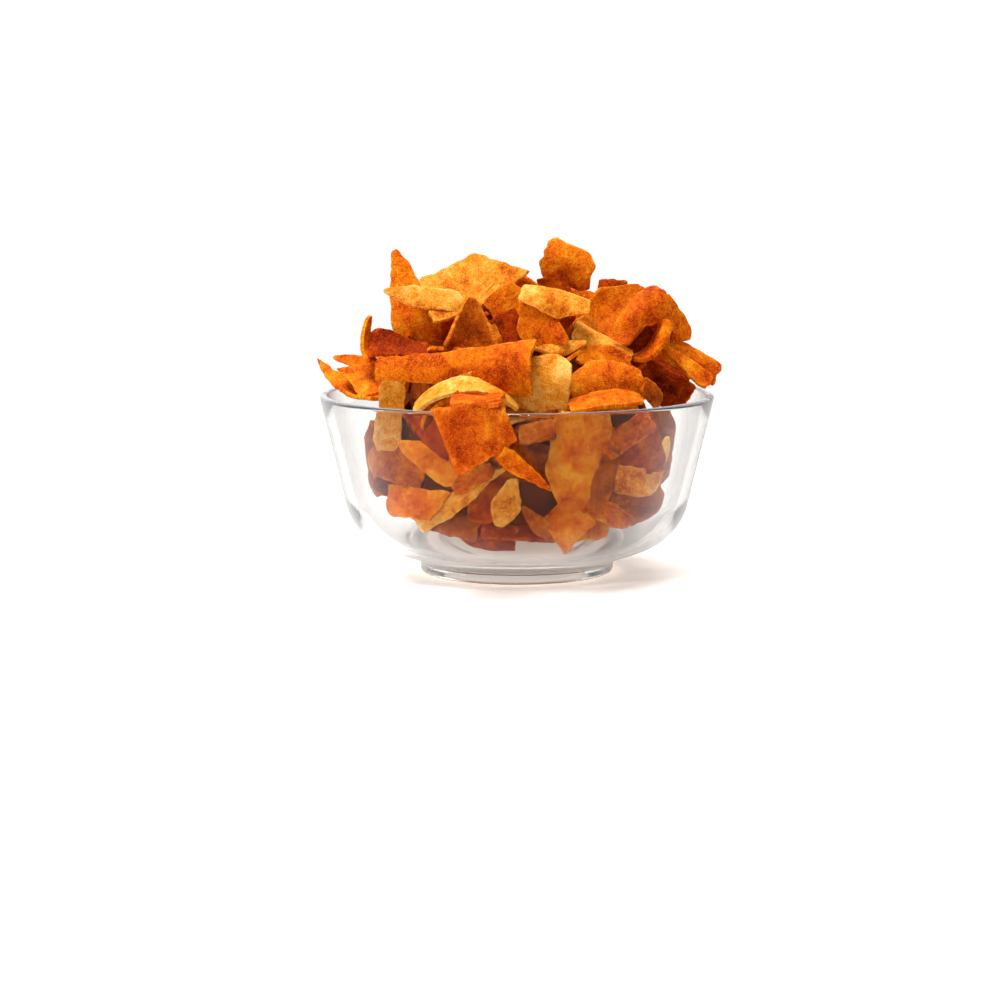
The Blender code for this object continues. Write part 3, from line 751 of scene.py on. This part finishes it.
def seasoned_crisp(colour):
    """Fried corn dough under a dry orange powder, in one of the kinds above."""
    bare, thin, thick, burnt = (hex_colour(code) for code in COLOURS[colour])
    made, tree, output = new_material("seasoned corn crisp, " + colour)
    place = add(tree, "ShaderNodeAttribute", {"attribute_name": "dough"}, {}).outputs["Vector"]
    facts = add(tree, "ShaderNodeAttribute", {"attribute_name": "facts"}, {}).outputs["Color"]
    parts = add(tree, "ShaderNodeSeparateColor", {}, {"Color": facts})
    mottle = noise_of(tree, place, MOTTLE, 3.0)
    grain = noise_of(tree, place, GRAIN)
    # Each noise adds its share of powder. The last two shares are the crisp's own and its edge's.
    powder = add_share(tree, noise_of(tree, place, WASH), 0.95, POWDER_BASE)
    powder = add_share(tree, noise_of(tree, place, BLOTCH), 0.65, powder)
    powder = add_share(tree, mottle, 0.6, powder)
    powder = add_share(tree, grain, 0.75, powder)
    powder = add_share(tree, parts.outputs["Red"], 0.16, powder)
    powder = add_share(tree, parts.outputs["Green"], -0.10, powder)
    ramp_node = add(tree, "ShaderNodeValToRGB", {}, {"Fac": powder})
    ramp = ramp_node.color_ramp
    ramp.elements[0].position = RAMP_PLACES[0]
    ramp.elements[0].color = (*bare, 1)
    ramp.elements[1].position = RAMP_PLACES[3]
    ramp.elements[1].color = (*burnt, 1)
    ramp.elements.new(RAMP_PLACES[1]).color = (*thin, 1)
    ramp.elements.new(RAMP_PLACES[2]).color = (*thick, 1)
    flecks = noise_of(tree, place, FLECK, 1.0)
    tinted = dab(tree, flecks, 0.64, 0.74, 0.7, burnt, ramp_node.outputs["Color"])
    grains = noise_of(tree, place, MAIZE, 1.0)
    tinted = dab(tree, grains, 0.63, 0.72, 0.55, bare, tinted)
    relief = add_share(tree, mottle, 2.0, grain)
    bump = add(tree, "ShaderNodeBump", {}, {
        "Height": relief, "Distance": RELIEF * MM, "Strength": 1.0})
    dry = add(tree, "ShaderNodeMapRange", {}, {"Value": mottle, "To Min": 0.45, "To Max": 0.8})
    shader = add(tree, "ShaderNodeBsdfPrincipled", {}, {
        "Base Color": tinted, "Roughness": dry.outputs[0], "IOR": CRISP_IOR,
        "Specular IOR Level": OIL_GLOSS, "Subsurface Weight": GLOW_THROUGH,
        "Subsurface Scale": GLOW_REACH * MM, "Normal": bump.outputs[0]})
    shader.inputs["Subsurface Radius"].default_value = (1.0, 0.35, 0.06)
    tree.links.new(shader.outputs[0], output.inputs["Surface"])
    return made


# %% [markdown]
# ## The heap
# A bowl of crisps holds some palely fried ones, many orange ones and a few dark red ones. The kinds
# also carry painted light: paler ones where the lamp lights the tops, redder ones in shade. Each
# could be an object of its own, but the crisps of one colour share all that follows, so they are
# joined into one piece. It gets its thickness from Solidify, blunt edges from Bevel, and the small
# blisters of frying from Displace, once for all of them.

# %% Small blisters, in millimetres
BLISTER = 3.0            # width of a small blister
BLISTER_HEIGHT = 0.34
EDGE_BEVEL = 0.3         # how blunt the broken edges are

blisters = bpy.data.textures.new("blisters", "CLOUDS")
blisters.noise_scale = BLISTER * MM
blisters.noise_depth = 1
print("blisters:", BLISTER, "mm wide and up to", BLISTER_HEIGHT / 2, "mm high")


# %% Make the crisps, colour by colour
def apply_modifier(item, kind, **settings):
    """Put a modifier on the active object and apply it at once."""
    modifier = item.modifiers.new(kind.lower(), kind)
    for name, value in settings.items():
        setattr(modifier, name, value)
    bpy.ops.object.modifier_apply(modifier=modifier.name)


def make_pile(colour, crisps):
    """All crisps of one colour, joined, thickened and blistered."""
    ribbons = [make_ribbon(crisp, seed) for seed, crisp in crisps]
    make_active(ribbons[0])
    for ribbon in ribbons:
        ribbon.select_set(True)
    bpy.ops.object.join()
    pile = bpy.context.object
    pile.name = colour + "_crisps"
    apply_modifier(pile, "SOLIDIFY", thickness=CRISP_THICK * MM, offset=0, use_even_offset=False)
    apply_modifier(pile, "BEVEL", width=EDGE_BEVEL * MM, segments=1, limit_method="ANGLE",
                   angle_limit=math.radians(60))
    apply_modifier(pile, "DISPLACE", texture=blisters, texture_coords="LOCAL",
                   strength=BLISTER_HEIGHT * MM, mid_level=0.5)
    bpy.ops.object.shade_smooth_by_angle(angle=math.radians(50))
    pile.data.materials.clear()
    pile.data.materials.append(seasoned_crisp(colour))
    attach(pile, "root")
    print(pile.name, len(ribbons), "crisps,", len(pile.data.polygons), "faces")


def chance_colour(rng, deep_shade):
    """Colour of a crisp that chance laid; those lying deep get darker kinds, as painted shade."""
    if deep_shade:
        return rng.choice(("orange", "tan", "red", "red"))
    return rng.choice(("orange", "orange", "orange", "pale", "tan", "tan", "red"))


# %% Sort the crisps by colour and make each pile
colour_rng = random.Random(SEED)
# The painted shade is for the core alone.
heap = {colour: [] for colour in COLOURS if colour != "deep_shade"}
laid = [*FRONT, *side_crisps(ROWS, SEED)]
shown = len(laid)
laid += side_crisps(DEEP_ROWS, DEEP_SEED)
hidden = len(laid)
laid += side_crisps(TOP_ROWS, TOP_SEED, TOP_TILT, TOP_FACE_UP)
# The crisps of the deep rows get darker kinds, painted shade for the gaps between the outer ones.
for seed, crisp in enumerate(laid):
    heap[crisp[1] or chance_colour(colour_rng, shown <= seed < hidden)].append((seed, crisp))
for colour, crisps in heap.items():
    make_pile(colour, crisps)

# %% [markdown]
# ## The core
# Of the crisps in the middle of the heap nothing is seen but brown shadow between the outer ones.
# They could be laid too, but hundreds of hidden crisps would only cost time. So a plain round core
# stands for them, a little smaller than that of the solid model, in painted deep shadow.

# %% Spin the core
CORE = ((0, 12), (19, 12.5), (30, 16.5), (36, 24), (39.5, 36), (41.5, 50), (39.5, 58.5),
        (33.5, 67), (23, 75), (11, 79), (0, 81))
CORE_FOOT = 12           # height at which the core begins
CORE_SHRINK = 0.98
CORE_STEPS = 48
core_points = [(r * CORE_SHRINK, CORE_FOOT + (z - CORE_FOOT) * CORE_SHRINK) for r, z in CORE]
core = spin_section("heap_core", core_points, CORE_STEPS)
# The core's dark colour is painted shade.
core.data.materials.append(seasoned_crisp("deep_shade"))
core.data.materials[0].name = "corn crisp in painted shadow"
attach(core, "root")
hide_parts("crisps")
print("core:", len(core.data.polygons), "faces")
